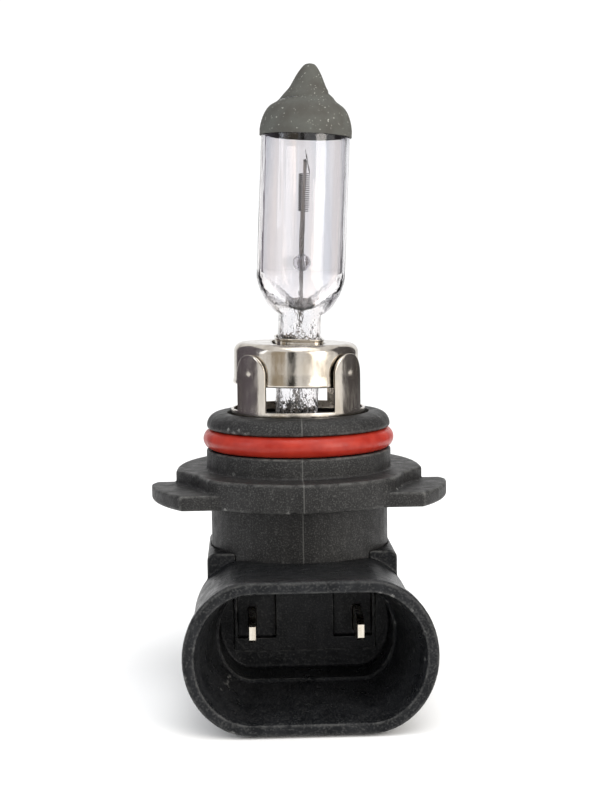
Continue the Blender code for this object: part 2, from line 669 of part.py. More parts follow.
def tab_columns():
    """(angle from the front, wall height) around the ring; a tab is a round-topped column."""
    strip_z = RING_LOW_Z + STRIP_HEIGHT
    side_deg = TAB_HALF_ANGLE_DEG + TAB_FOOT_DEG
    centres = [TAB_ANGLE_DEG, 180 - TAB_ANGLE_DEG, 180 + TAB_ANGLE_DEG, 360 - TAB_ANGLE_DEG]
    columns = []
    for centre, following in zip(centres, centres[1:] + [360 + TAB_ANGLE_DEG]):
        columns.append((centre - side_deg, strip_z))
        for i in range(TAB_STEPS + 1):
            share = -1 + 2 * i / TAB_STEPS
            across = math.radians(TAB_HALF_ANGLE_DEG * share) * RING_OUTER
            fall = TAB_ROUND * (1 - math.sqrt(max(0.0, 1 - min(1.0, abs(across) / TAB_ROUND) ** 2)))
            columns.append((centre + TAB_HALF_ANGLE_DEG * share, RING_LOW_Z + TAB_HEIGHT - fall))
        columns.append((centre + side_deg, strip_z))
        start, end = centre + side_deg, following - side_deg
        count = max(2, round((end - start) / STRIP_STEP_DEG))
        columns += [(start + (end - start) * i / count, strip_z) for i in range(1, count)]
    return columns


def make_holder_ring(material):
    foot = RING_OUTER + RING_FOOT_WIDTH
    foot_top = RING_LOW_Z + RING_WALL
    sections = []
    for angle, top in tab_columns():
        a = math.radians(FRONT_DEG + angle)
        profile = [(RING_INNER, RING_LOW_Z), (foot, RING_LOW_Z), (foot, foot_top),
                   (RING_OUTER, foot_top), (RING_OUTER, top), (RING_INNER, top)]
        sections.append([(r * math.cos(a), r * math.sin(a), z) for r, z in profile])
    return place(loop_loft(sections), "holder_ring", material)


# ---------------------------------------------------------------- base
def base_outline():
    groove_top = SEAL_Z + SEAL_SECTION / 2 + SEAL_CLEARANCE
    groove_low = SEAL_Z - SEAL_SECTION / 2 - SEAL_CLEARANCE
    edge = FLANGE_EDGE / 2
    upper_groove = FLANGE_TOP_Z - FLANGE_GROOVE
    lower_groove = FLANGE_LOW_Z + FLANGE_GROOVE
    plug_seat_z = PLUG_LOW_Z - FIT
    throat_z = RECESS_Z - THROAT_DEPTH
    top_centre = (BOSS_RADIUS - BOSS_FILLET, BOSS_TOP_Z - BOSS_FILLET)
    low_centre = (BOSS_RADIUS - BOSS_LOWER_FILLET, groove_top + BOSS_LOWER_FILLET)
    outline = [(RECESS_RADIUS, BOSS_TOP_Z)] + arc(top_centre, BOSS_FILLET, 90, 0, 6)
    outline += arc(low_centre, BOSS_LOWER_FILLET, 0, -90, 3)
    outline += [(GROOVE_RADIUS, groove_top), (GROOVE_RADIUS, groove_low)]
    outline += [(BARREL_RADIUS - edge, groove_low), (BARREL_RADIUS, groove_low - edge)]
    outline += [(BARREL_RADIUS, upper_groove), (BARREL_RADIUS + FLANGE_FRONT / 2, upper_groove)]
    outline += [(BARREL_RADIUS + FLANGE_FRONT / 2, lower_groove)]
    outline += [(CYLINDER_RADIUS, lower_groove), (CYLINDER_RADIUS, SEAT_Z + BASE_CLEARANCE)]
    outline += [(SPIGOT_RADIUS, SEAT_Z + BASE_CLEARANCE), (SPIGOT_RADIUS, SPIGOT_LOW_Z)]
    outline += [(CORE_LOW_RADIUS, SPIGOT_LOW_Z), (CORE_LOW_RADIUS, plug_seat_z)]
    outline += [(CORE_RADIUS, plug_seat_z), (CORE_RADIUS, throat_z)]
    outline += [(THROAT_RADIUS, throat_z), (THROAT_RADIUS, RECESS_Z), (RECESS_RADIUS, RECESS_Z)]
    return outline


def lug_reach():
    return BARREL_RADIUS + LUG_LENGTH


def lug_front():
    return BARREL_RADIUS - LUG_INSET


def flange_outline():
    """Rim seen from above: full at the back, a notch towards each lug, a shallower front arc."""
    side, rear = BARREL_RADIUS + FLANGE_SIDE, BARREL_RADIUS + FLANGE_REAR
    front = BARREL_RADIUS + FLANGE_FRONT
    steps = FLANGE_STEPS
    right = squarish(side, rear, FLANGE_POWER, 4 * steps)[:steps + 1:2][::-1]
    corner_deg = math.degrees(math.asin((lug_front() - LUG_NOTCH - LUG_CORNER) / front))
    notch = Vector((front * math.cos(math.radians(corner_deg)), -lug_front() + LUG_NOTCH + LUG_CORNER))
    shoulder = Vector((side - LUG_CORNER, -NOTCH_START))
    dent = (notch + shoulder) / 2 - Vector((LUG_NOTCH, 0.0)) / 2
    right += [(side, -NOTCH_START / 2), tuple(shoulder), tuple(dent)]
    right += arc((0.0, 0.0), front, -corner_deg, FRONT_DEG, ARC_STEPS)
    left = [(-x, y) for x, y in right[::-1]]
    return right + left[1:-1]


def shrunk(outline, distance):
    """The outline moved towards its centre, for an edge break."""
    return [((1 - distance / math.hypot(x, y)) * x, (1 - distance / math.hypot(x, y)) * y)
            for x, y in outline]


def soft_plate(outline, low, high, edge):
    """Plate with broken edges at its top and bottom."""
    levels = [(edge, low), (0.0, low + edge), (0.0, high - edge), (edge, high)]
    return loft([[(x, y, z) for x, y in shrunk(outline, inset)] for inset, z in levels])


def side_lug(side):
    """Lug with a straight front and an outer edge that is round about the lamp's axis."""
    root = BARREL_RADIUS + LUG_CORNER
    front_deg = math.degrees(math.asin(lug_front() / lug_reach()))
    back_deg = math.degrees(2 * LUG_CORNER / lug_reach())
    inner, outer = [share * BARREL_RADIUS for share in LUG_ROOT_SHARES]
    points = [(inner, -inner), (outer, -lug_front())]
    points += arc((0.0, 0.0), lug_reach(), -front_deg, -back_deg, ARC_STEPS)
    points += [(lug_reach() - LUG_CORNER, LUG_CORNER / 2), (root, LUG_CORNER), (root, -LUG_ROOT_BACK)]
    outline = [(side * x, y) for x, y in points]
    return outline if side > 0 else outline[::-1]


def back_lug():
    root = BARREL_RADIUS + LUG_CORNER
    half = BACK_LUG_HALF_WIDTH
    reach = lug_reach()
    right = [(half + LUG_CORNER, root), (half, reach - LUG_CORNER), (half - LUG_CORNER, reach)]
    return right + [(-x, y) for x, y in right[::-1]]


def make_base(material):
    base = place(lathe(base_outline(), ROUND_STEPS), "base_housing", material)
    rim = soft_plate(flange_outline(), FLANGE_LOW_Z, FLANGE_TOP_Z, FLANGE_EDGE)
    rim_body = place(rim, "flange_rim", None)
    bore_radius = CYLINDER_RADIUS - FLANGE_EDGE
    bore_outline = squarish(bore_radius, bore_radius, 2, ROUND_STEPS)
    bore = prism(bore_outline, FLANGE_LOW_Z - THROUGH, FLANGE_TOP_Z + THROUGH)
    combine(rim_body, place(bore, "flange_bore", None), "DIFFERENCE")
    combine(base, rim_body, "UNION")
    lugs = {"lug_right": side_lug(1), "lug_left": side_lug(-1), "lug_back": back_lug()}
    for name, outline in lugs.items():
        plate = soft_plate(outline, FLANGE_LOW_Z, FLANGE_LOW_Z + LUG_THICKNESS, FLANGE_EDGE)
        combine(base, place(plate, name, None), "UNION")
    return base


def make_seal(material):
    radius = SEAL_SECTION / 2
    centre = (BARREL_RADIUS + SEAL_PROUD - radius, SEAL_Z)
    section = arc(centre, radius, 0, 360 - 360 / SEAL_STEPS, SEAL_STEPS - 1)
    return place(lathe(section, ROUND_STEPS), "seal_ring", material)


def make_plug(material):
    """Sealing compound in the core, with a hole for each lead."""
    radius = CORE_RADIUS - FIT
    outline = [(0.0, PLUG_TOP_Z), (radius - PLUG_STEP, PLUG_TOP_Z), (radius, PLUG_TOP_Z + PLUG_STEP),
               (radius, PLUG_LOW_Z), (0.0, PLUG_LOW_Z)]
    plug = place(lathe(outline, ROUND_STEPS), "sealing_plug", material)
    for name, side in (("right", 1), ("left", -1)):
        path = [(side * PLUG_LEAD_X, 0.0, z) for z in (PLUG_LOW_Z - THROUGH, PLUG_TOP_Z + THROUGH)]
        hole = tube(path, OUTER_LEAD_DIAMETER + 2 * FIT, HOLE_SIDES)
        combine(plug, place(hole, "plug_hole_" + name, None), "DIFFERENCE")
    return plug


# ---------------------------------------------------------------- connector
def oval(half_width, low, high, y):
    """Oval section across Y: straight top and bottom, elliptical ends."""
    middle, half_height = (low + high) / 2, (high - low) / 2
    ends = half_width - MOUTH_FLAT
    points = []
    for side, start in ((1, -90), (-1, 90)):
        for i in range(OVAL_STEPS + 1):
            a = math.radians(start + 180 * i / OVAL_STEPS)
            x = side * MOUTH_FLAT + ends * math.cos(a)
            points.append((x, y, middle + half_height * math.sin(a)))
    return points


def shroud_sections():
    """Outer sections (place, share of the flare, edge round) from the collar to the mouth."""
    stages = [(SHROUD_OVERLAP - COLLAR_FRONT, 0.0, 0.0)]
    stages += [(MOUTH_Y + back, share, 0.0) for back, share in SHROUD_STAGES]
    stages += [(MOUTH_Y + 2 * MOUTH_RIM, 1.0, 0.0), (MOUTH_Y + MOUTH_RIM / 2, 1.0, MOUTH_RIM / 3),
               (MOUTH_Y, 1.0, MOUTH_RIM)]
    sections = []
    for y, share, inset in stages:
        half_width = SHROUD_REAR_HALF_WIDTH + SHROUD_FLARE * share - inset
        low = SHROUD_KEEL * (1 - share) + inset
        sections.append(oval(half_width, low, SHROUD_REAR_TOP_Z + SHROUD_RISE * share - inset, y))
    return sections


def socket_sections():
    """The plug space: lead-in, taper, ledge and the straight inner socket."""
    wall_x = MOUTH_HALF_WIDTH - MOUTH_WALL
    low, high = MOUTH_WALL, MOUTH_HEIGHT - MOUTH_WALL
    ledge_high = SHROUD_REAR_TOP_Z - SHROUD_WALL
    ledge_y = MOUTH_Y + LEDGE_DEPTH
    lead_x = (wall_x + LEDGE_HALF_WIDTH) / 2
    inner = (LEDGE_HALF_WIDTH - LEDGE_STEP, LEDGE_FLOOR + LEDGE_STEP, ledge_high - LEDGE_STEP)
    return [
        oval(wall_x + MOUTH_RIM, low - MOUTH_RIM, high + MOUTH_RIM, MOUTH_Y - MOUTH_RIM),
        oval(wall_x, low, high, MOUTH_Y + 2 * MOUTH_RIM),
        oval(lead_x, (low + LEDGE_FLOOR) / 2, (high + ledge_high) / 2, MOUTH_Y + LEAD_IN_DEPTH),
        oval(LEDGE_HALF_WIDTH, LEDGE_FLOOR, ledge_high, ledge_y),
        oval(*inner, ledge_y + LEDGE_STEP / 3),
        oval(*inner, SOCKET_BACK_Y),
    ]


def collar_sections():
    """Sections across Y of the part round the base's foot: round upper edges and rear corners."""
    centre_y = COLLAR_HALF_WIDTH - COLLAR_CORNER
    corner = arc((centre_y, centre_y), COLLAR_CORNER, 0, 90, 7)
    sections = []
    for half_x, y in [(COLLAR_HALF_WIDTH, -COLLAR_FRONT)] + corner:
        centre = (half_x - COLLAR_ROUND, COLLAR_TOP_Z - COLLAR_ROUND)
        right = [(half_x - FLANGE_EDGE, 0.0), (half_x, FLANGE_EDGE)] + arc(centre, COLLAR_ROUND, 0, 90, 5)
        sections.append([(x, y, z) for x, z in right] + [(-x, y, z) for x, z in right[::-1]])
    return sections


def make_connector(material):
    housing = place(loft(shroud_sections()), "connector_housing", material)
    combine(housing, place(loft(collar_sections()), "collar", None), "UNION")
    combine(housing, place(loft(socket_sections()), "plug_space", None), "DIFFERENCE")
    seat_radius = CYLINDER_RADIUS + BASE_CLEARANCE
    top = COLLAR_TOP_Z + THROUGH
    outline = [(0.0, top), (seat_radius, top), (seat_radius, SEAT_Z), (CHAMBER_RADIUS, SEAT_Z),
               (CHAMBER_RADIUS, FLOOR_THICKNESS), (0.0, FLOOR_THICKNESS)]
    combine(housing, place(lathe(outline, ROUND_STEPS), "chamber", None), "DIFFERENCE")
    half = INSERT_HALF_WIDTH + FIT
    window = box((-half, SOCKET_BACK_Y - THROUGH, INSERT_LOW_Z - FIT), (half, 0.0, INSERT_TOP_Z + FIT))
    combine(housing, place(window, "insert_window", None), "DIFFERENCE")
    for name, body in rear_window().items():
        combine(housing, place(body, name, None), "DIFFERENCE")
    return housing


def cover_height():
    return FLOOR_THICKNESS + COVER_EDGE, SEAT_Z - COVER_EDGE


def rear_window():
    """Way into the terminal chamber, with a rebate that takes the cover."""
    low, high = cover_height()
    rear = COLLAR_HALF_WIDTH + THROUGH
    half = COVER_HALF_WIDTH + FIT
    way = COVER_HALF_WIDTH - COVER_LIP
    rebate = box((-half, COLLAR_HALF_WIDTH - COVER_THICKNESS - FIT, low - FIT), (half, rear, high + FIT))
    through = box((-way, CHAMBER_RADIUS / 2, low + COVER_LIP), (way, rear, high - COVER_LIP))
    return {"cover_rebate": rebate, "cover_way": through}


def make_cover(material):
    low, high = cover_height()
    body = box((-COVER_HALF_WIDTH, COLLAR_HALF_WIDTH - COVER_THICKNESS, low),
               (COVER_HALF_WIDTH, COLLAR_HALF_WIDTH, high))
    return place(body, "rear_cover", material)


def make_insert(material):
    """Block between the socket and the chamber, with a slot and a pocket for each terminal."""
    body = box((-INSERT_HALF_WIDTH, INSERT_FRONT_Y, INSERT_LOW_Z),
               (INSERT_HALF_WIDTH, INSERT_REAR_Y, INSERT_TOP_Z))
    insert = place(body, "terminal_block", material)
    half = PIN_THICKNESS / 2 + FIT
    rise = PIN_WIDTH / 2 + FIT
    for name, side in (("right", 1), ("left", -1)):
        x = side * PIN_X
        slot = box((x - half, INSERT_FRONT_Y - THROUGH, PIN_Z - rise),
                   (x + half, INSERT_REAR_Y + THROUGH, PIN_Z + rise))
        combine(insert, place(slot, "slot_" + name, None), "DIFFERENCE")
        ends = sorted([x - side * POCKET_INSIDE, x + side * POCKET_OUTSIDE])
        pocket = box((ends[0], INSERT_FRONT_Y - THROUGH, INSERT_LOW_Z + POCKET_LOW_RIM),
                     (ends[1], INSERT_FRONT_Y + POCKET_DEPTH, INSERT_TOP_Z - POCKET_TOP_RIM))
        combine(insert, place(pocket, "pocket_" + name, None), "DIFFERENCE")
    return insert


def make_terminal(name, side, material):
    """Flat L: a blade that points out of the socket and a riser up into the base's core."""
    tip = INSERT_FRONT_Y - PIN_REACH
    half, tip_half, riser = PIN_WIDTH / 2, PIN_TIP_WIDTH / 2, RISER_WIDTH / 2
    profile = [(tip, PIN_Z - tip_half), (tip + PIN_TAPER, PIN_Z - half), (riser, PIN_Z - half),
               (riser, RISER_TOP_Z), (-riser, RISER_TOP_Z), (-riser, PIN_Z + half),
               (tip + PIN_TAPER, PIN_Z + half), (tip, PIN_Z + tip_half)]
    x = side * PIN_X
    faces = [[(x + offset, y, z) for y, z in profile] for offset in (-PIN_THICKNESS / 2, PIN_THICKNESS / 2)]
    return place(loft(faces), name, material)


# ---------------------------------------------------------------- assembly
def main():
    clear_scene()
    glass = make_material("quartz_glass", (0.92, 0.93, 0.94), 0.03, 0.0, 1.0)
    coating = make_material("matte_grey_coating", (0.14, 0.14, 0.13), 0.75)
    tungsten = make_material("tungsten", (0.3, 0.3, 0.31), 0.45, 1.0)
    molybdenum = make_material("molybdenum", (0.55, 0.55, 0.56), 0.35, 1.0)
    nickel = make_material("nickel_sheet", (0.72, 0.68, 0.6), 0.18, 1.0)
    silicone = make_material("red_silicone", (0.52, 0.045, 0.025), 0.35)
    base = make_material("dark_grey_plastic", (0.035, 0.036, 0.038), 0.6)
    connector = make_material("black_plastic", (0.018, 0.018, 0.02), 0.45)
    compound = make_material("sealing_compound", (0.05, 0.05, 0.055), 0.5)
    tin = make_material("tinned_copper", (0.75, 0.73, 0.68), 0.3, 1.0)

    axis = burner_axis()
    make_glass(axis, glass)
    make_coating(axis, coating)
    make_coil(axis, tungsten)
    make_long_lead(axis, molybdenum)
    make_short_lead(axis, molybdenum)
    make_bead(axis, glass)
    make_foil("foil_front", -1, axis, molybdenum)
    make_foil("foil_back", 1, axis, molybdenum)
    make_outer_lead("outer_lead_right", 1, molybdenum)
    make_outer_lead("outer_lead_left", -1, molybdenum)
    make_can(nickel)
    make_clip(axis, nickel)
    make_holder_ring(nickel)
    make_base(base)
    make_seal(silicone)
    make_plug(compound)
    make_connector(connector)
    make_insert(connector)
    make_terminal("terminal_right", 1, tin)
    make_terminal("terminal_left", -1, tin)
    make_cover(connector)


main()
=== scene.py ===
"""Looks of the headlight bulb: fine meshes, procedural materials and studio light around the CAD."""
import json
import math

import bpy
from mathutils import Matrix, Vector


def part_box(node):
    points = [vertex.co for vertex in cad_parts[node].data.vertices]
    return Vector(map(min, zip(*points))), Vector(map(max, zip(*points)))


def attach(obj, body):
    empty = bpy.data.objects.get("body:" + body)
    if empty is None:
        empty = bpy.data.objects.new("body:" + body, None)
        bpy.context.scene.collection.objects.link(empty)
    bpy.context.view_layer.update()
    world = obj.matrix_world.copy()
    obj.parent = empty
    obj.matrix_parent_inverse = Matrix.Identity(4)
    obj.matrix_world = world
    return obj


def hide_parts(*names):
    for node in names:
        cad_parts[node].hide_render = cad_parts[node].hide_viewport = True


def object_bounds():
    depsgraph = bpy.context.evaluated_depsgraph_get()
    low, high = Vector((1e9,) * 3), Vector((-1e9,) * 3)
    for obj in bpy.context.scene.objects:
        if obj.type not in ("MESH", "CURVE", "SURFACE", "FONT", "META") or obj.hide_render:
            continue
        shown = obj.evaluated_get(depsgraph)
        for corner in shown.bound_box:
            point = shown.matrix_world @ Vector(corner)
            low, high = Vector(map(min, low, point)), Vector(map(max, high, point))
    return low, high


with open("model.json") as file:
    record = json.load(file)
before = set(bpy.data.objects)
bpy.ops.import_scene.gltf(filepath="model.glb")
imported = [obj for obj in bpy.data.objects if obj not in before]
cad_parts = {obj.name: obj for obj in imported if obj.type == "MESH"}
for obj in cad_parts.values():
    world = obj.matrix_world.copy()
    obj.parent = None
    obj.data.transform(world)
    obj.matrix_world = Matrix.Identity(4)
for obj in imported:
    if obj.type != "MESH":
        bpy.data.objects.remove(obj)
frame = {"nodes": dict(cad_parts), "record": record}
CAD_BOX = [list(corner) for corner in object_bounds()]
SLOTS = {row["node"]: row["material_slot"] for row in frame["record"]["subparts"]}
MM = 0.001
PER_MM = 1000.0

# ---------------------------------------------------------------- camera
CAMERA_DISTANCE = 167.8 * MM
CAMERA_HEIGHT = 48.64 * MM
CAMERA_AZIMUTH_DEG = -2.213
CAMERA_PITCH_DEG = 5.64
CAMERA_ROLL_DEG = -0.754
CAMERA_SIDE = 0.242 * MM
CAMERA_LENS_MM = 63.5
CAMERA_SENSOR_MM = 36.0
CAMERA_CLIP = 10 * MM

# ---------------------------------------------------------------- fineness
ROUND = 128
PINCH_ROWS = 14
SHOULDER_ROWS = 24
TUBE_ROWS = 12
BORE_ROWS = 10
GLASS_PARTS = 4
GAS_PARTS = 3
COAT_PARTS = 6
COIL_STEPS = 24
WIRE_SIDES = 8
TAIL_STEPS = 5
FILLET_STEPS = 12
SHEET_ROWS = 24
SEAL_STEPS = 192
SEAL_SIDES = 32
TINY = 1e-9
# Remeshed CAD nodes: (grid in millimetres, rounds of smoothing)
FINE = {"base_housing": (0.14, 3), "connector_housing": (0.14, 3), "rear_cover": (0.12, 3),
        "terminal_block": (0.1, 2), "terminal_right": (0.06, 2), "terminal_left": (0.06, 2),
        "sealing_plug": (0.15, 2), "pinch_clip": (0.06, 2), "lead_bead": (0.06, 3)}
KEPT = ("long_support_lead", "short_support_lead", "foil_front", "foil_back",
        "outer_lead_right", "outer_lead_left")

# ---------------------------------------------------------------- burner's shape
LEAN_DEG = 2.75
LEAN_ABOVE_BASE = 5.2 * MM
GLASS_WALL = 0.62 * MM
PINCH_LENGTH = 13.2 * MM
PINCH_HALF_THICKNESS = 2.45 * MM
PINCH_INSET = 0.55 * MM
PINCH_POWER = 6.0
SHOULDER_HEIGHT = 4.5 * MM
SHOULDER_FALL = 1.7
SHOULDER_FULLNESS = 0.7
TUBE_LENGTH = 17.0 * MM
CAVITY_LIFT = 0.55 * MM
CAVITY_TIP_HALF = (0.05 * MM, 0.2 * MM)
CAVITY_FLOOR_HALF = (0.9 * MM, 2.9 * MM)
CAVITY_FLOOR_SHARE = 0.6
CAVITY_FLOOR_RISE = 0.02 * MM
CAVITY_RISE = 0.05 * MM
CAVITY_POWER = 4
CAVITY_DOME = 3.3 * MM
CAVITY_DOME_DEG = [11.0 * row for row in range(9)]
# The dome's outline as (share of the tube's radius, share of the dome's height)
DOME = [(1.0, 0.0), (0.97, 0.12), (0.9, 0.25), (0.8, 0.345), (0.63, 0.43), (0.51, 0.53), (0.4, 0.625),
        (0.33, 0.72), (0.26, 0.82), (0.17, 0.92), (0.09, 0.98), (0.012, 1.0)]
COAT = 0.14 * MM
COAT_GAP = 0.03 * MM
COAT_THINNING = 0.6
COAT_TIP_RADIUS = 0.03 * MM
COAT_LEAST_RADIUS = 0.02 * MM
TIP_SWAY = 0.22 * MM
FOLD_START = 0.42
FOLD_CLIMB = 0.3
FOLD_REACH = (0.12, 0.8)
FOLD_WIDTH = 0.03
FOLD_DEPTH = 0.2 * MM
COIL_WIRE = 0.11 * MM
COIL_TURNS = 18
COIL_LENGTH = 4.4 * MM
TAIL_RISE = 0.18

# ---------------------------------------------------------------- metal holder and seal
CAN_LEAN_DEG = 1.2
CAN_WALL = 0.35 * MM
CAN_FILLET = 1.1 * MM
CAN_LIP_PROUD = 0.05 * MM
CAN_SIDE_INSET = 0.03 * MM
# The lower lip as (out from the cup's radius, height), and heights on the cup's side
CAN_LIP = ((-0.1 * MM, 0.0), (0.02 * MM, 0.06 * MM), (0.05 * MM, 0.2 * MM),
           (0.05 * MM, 0.36 * MM), (0.0, 0.52 * MM), (-0.03 * MM, 0.7 * MM))
CAN_SIDE = (1.6 * MM, 2.6 * MM)
CAN_TOP_SHARES = (0.3, 0.6, 0.85, 1.0)
SLOT_HALF = (3.06 * MM, 5.31 * MM)
SLOT_POWER = 6.0
TAB_CENTRES_DEG = (47.5, 132.5, 227.5, 312.5)
TAB_HALF_DEG = 17.0
TAB_ROUND = 2.3 * MM
TAB_EXTRA_DEG = (0.0, 0.15, -0.2, -0.5)
RING_WALL = 0.33 * MM
RING_FOOT = 0.25 * MM
RING_FOOT_HEIGHT = 0.26 * MM
RING_EDGE = 0.07 * MM
RING_SHEET_FROM = 0.4 * MM
STRIP_HEIGHT = 1.29 * MM
WELD_DROP = 2.7 * MM
WELD_ARM = 8.0 * MM
WELD_DEPTH = 0.11 * MM
WELD_RADIUS = 0.62 * MM
FRONT_DEG = -90
SEAL_RADIUS = 1.2 * MM

# ---------------------------------------------------------------- surfaces
# Patches: blob width in mm, detail, stretch, noise from, noise to, result from, result to
EVEN = (1, 1, 1)
DRAWN = (1, 1, 0.25)
PLASTIC_CLOUDS = (3.0, 4.0, EVEN, 0.35, 0.68, 0.0, 1.0)
PLASTIC_STREAKS = (1.3, 3.0, (1, 1, 0.06), 0.45, 0.75, 0.0, 0.35)
# Patches for the pale sharp edges: partly wear, partly a painted highlight along the rims
PLASTIC_EDGE_WEAR_AND_HIGHLIGHT = (0.9, 6.0, EVEN, 0.35, 0.62, 0.0, 1.0)
PLASTIC_SPECKS = (2.0, EVEN, 0.5, 0.8, 0.0, 0.3)  # width is the plastic's grain
PLASTIC_DULL = (1.2, 5.0, EVEN, 0.3, 0.7)  # ends in a roughness below and above the plastic's own
ROUGHNESS_BELOW = 0.1
ROUGHNESS_ABOVE = 0.12
METAL_STAINS = (1.6, 5.0, DRAWN, 0.42, 0.7, 0.0, 1.0)
METAL_DULL = (0.5, 6.0, DRAWN, 0.3, 0.75)  # ends in the metal's own two values of roughness
GLASS_BANDS = (2.6, 2.0, (1, 1, 0.05), 0.38, 0.62, 0.0, 1.0)
COAT_CLOUDS = (2.5, 4.0, EVEN, 0.35, 0.65, 0.0, 1.0)
COAT_SPECKS = (0.22, 1.0, EVEN, 0.715, 0.75, 0.0, 0.8)
COAT_ROUGHNESS = (0.6, 4.0, EVEN, 0.3, 0.7, 0.62, 0.85)
SILICONE_CLOUDS = (1.5, 4.0, EVEN, 0.35, 0.7, 0.0, 1.0)
SILICONE_ROUGHNESS = (0.8, 5.0, EVEN, 0.35, 0.7, 0.28, 0.5)
# Relief: blob width in mm, detail, depth in mm, strength
PLASTIC_RELIEF = (6.0, 0.07, 0.75)  # width is the plastic's grain
METAL_RELIEF = (1.1, 3.0, 0.02, 0.5)
COAT_RELIEF = (0.3, 6.0, 0.05, 0.6)
SILICONE_RELIEF = (0.5, 5.0, 0.03, 0.5)
STREAK_LIGHTER = 1.8
EDGE_SHARPNESS = (0.512, 0.565)
SEAM_HALF = (0.03 * MM, 0.1 * MM)
QUARTZ_IOR = 1.46
# Draw lines and ripples as blob width in mm, detail, stretch; their relief as depth in mm, strength
DRAW_LINES = (0.8, 2.0, (1, 1, 0.04))
RIPPLES = (0.9, 3.0, (1, 1, 0.5))
GLASS_RELIEF = (0.05, 0.7)
PRESSED_ABOVE = 2.6 * MM
PRESSED_BELOW = 2 * MM
PRESSED_RIPPLE = 16.0
PRESSED_ROUGHNESS = 0.12
GLASS_BLUISH = (0.77, 0.785, 0.83)
GLASS_PINKISH = (0.9, 0.865, 0.86)
COAT_DARK = (0.064, 0.061, 0.054)
COAT_LIGHT = (0.084, 0.086, 0.077)
COAT_SPECK = (0.55, 0.55, 0.5)
COAT_GLOSS = 0.15
SILICONE_DARK = (0.27, 0.014, 0.007)
SILICONE_LIGHT = (0.35, 0.026, 0.013)
SILICONE_GLOSS = 0.3

# ---------------------------------------------------------------- studio
FLOOR_HALF = 1.5
FLOOR_DROP = 0.0002
FLOOR_TONES = ((0.95, 0.95, 0.95), (0.98, 0.98, 0.98))
WORLD_STRENGTH = 1.08
FLOOR_ROUGHNESS = 0.9
FLOOR_CLOUD_MM = 9.0
CARD_SHADE = 0.85
CARD_CLOUD_MM = 60.0
# Lights: place in metres, size, watts, colour
LIGHTS = {
    "window_right": ((0.26, -0.3, 0.16), (0.22, 0.3), 1.0, (1.0, 0.95, 0.87)),
    "window_left": ((-0.34, -0.12, 0.2), (0.1, 0.26), 0.2, (0.82, 0.9, 1.0)),
    "sky": ((0.06, -0.14, 0.42), (0.3, 0.3), 0.6, (1.0, 1.0, 1.0)),
}
# Cards: place in metres, size, colour
CARDS = {
    "dark_left": ((-0.16, 0.05, 0.06), (0.24, 0.3), (0.1, 0.09, 0.11)),
    "dark_right": ((0.17, 0.06, 0.06), (0.22, 0.3), (0.09, 0.085, 0.09)),
    "dark_front": ((-0.05, -0.3, 0.05), (0.08, 0.4), (0.015, 0.015, 0.015)),
    "warm_front_left": ((-0.17, -0.24, 0.05), (0.14, 0.4), (0.36, 0.31, 0.24)),
}


# ---------------------------------------------------------------- mesh helpers
def mesh_object(name, points, faces):
    mesh = bpy.data.meshes.new(name)
    mesh.from_pydata([tuple(point) for point in points], [], faces)
    mesh.update()
    mesh.shade_smooth()
    obj = bpy.data.objects.new(name, mesh)
    bpy.context.scene.collection.objects.link(obj)
    return obj


def stand_for(obj, node):
    """obj takes the CAD node's place, body and finish."""
    obj.data.materials.clear()
    obj.data.materials.append(LOOKS[SLOTS[node]])
    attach(obj, "root")
    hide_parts(node)
    return obj


def skin(loops, closed=False, start=0, flip=False):
    """Faces between equal loops: a closed skin joins its last loop to its first, an open one gets caps."""
    steps = len(loops[0])
    faces = []
    rows = len(loops) if closed else len(loops) - 1
    for row in range(rows):
        low = start + row * steps
        high = start + (row + 1) % len(loops) * steps
        for step in range(steps):
            after = (step + 1) % steps
            faces.append((low + step, low + after, high + after, high + step))
    if not closed:
        last = start + (len(loops) - 1) * steps
        faces.append(tuple(start + steps - 1 - step for step in range(steps)))
        faces.append(tuple(last + step for step in range(steps)))
    return [face[::-1] for face in faces] if flip else faces


def flat(loops):
    return [point for loop in loops for point in loop]


def turns(count):
    """count angles evenly round a circle."""
    return [2 * math.pi * step / count for step in range(count)]


def oval(half_x, half_y, z, power=2.0, shift_x=0.0):
    """Rounded outline at height z: power 2 is an ellipse, a higher power is squarer."""
    points = []
    for angle in turns(ROUND):
        across, along = math.cos(angle), math.sin(angle)
        x = math.copysign(abs(across) ** (2 / power), across) * half_x
        y = math.copysign(abs(along) ** (2 / power), along) * half_y
        points.append(Vector((x + shift_x, y, z)))
    return points


def smooth_outline(knots, parts):
    """Catmull-Rom curve through (radius, z) knots."""
    knots = [Vector(knot) for knot in knots]
    ends = [2 * knots[0] - knots[1]] + knots + [2 * knots[-1] - knots[-2]]
    path = []
    for a, b, c, d in zip(ends, ends[1:], ends[2:], ends[3:]):
        for part in range(parts):
            t = part / parts
            path.append(0.5 * (2 * b + (c - a) * t + (2 * a - 5 * b + 4 * c - d) * t ** 2
                               + (3 * b - a - 3 * c + d) * t ** 3))
    return path + [knots[-1]]


def turn_about(pivot_z, degrees):
    pivot = Matrix.Translation((0, 0, pivot_z))
    return pivot @ Matrix.Rotation(math.radians(degrees), 4, "Y") @ pivot.inverted()


def tube_along(path, radius, sides):
    """Rings of points for a round wire along a path."""
    loops = []
    side = Vector((0, 0, 1)).cross(path[1] - path[0])
    side = side.normalized() if side.length > TINY else Vector((1, 0, 0))
    for i, spot in enumerate(path):
        ahead = (path[min(i + 1, len(path) - 1)] - path[max(i - 1, 0)]).normalized()
        side = (side - ahead * side.dot(ahead)).normalized()
        other = ahead.cross(side)
        loops.append([spot + (side * math.cos(a) + other * math.sin(a)) * radius
                      for a in turns(sides)])
    return loops


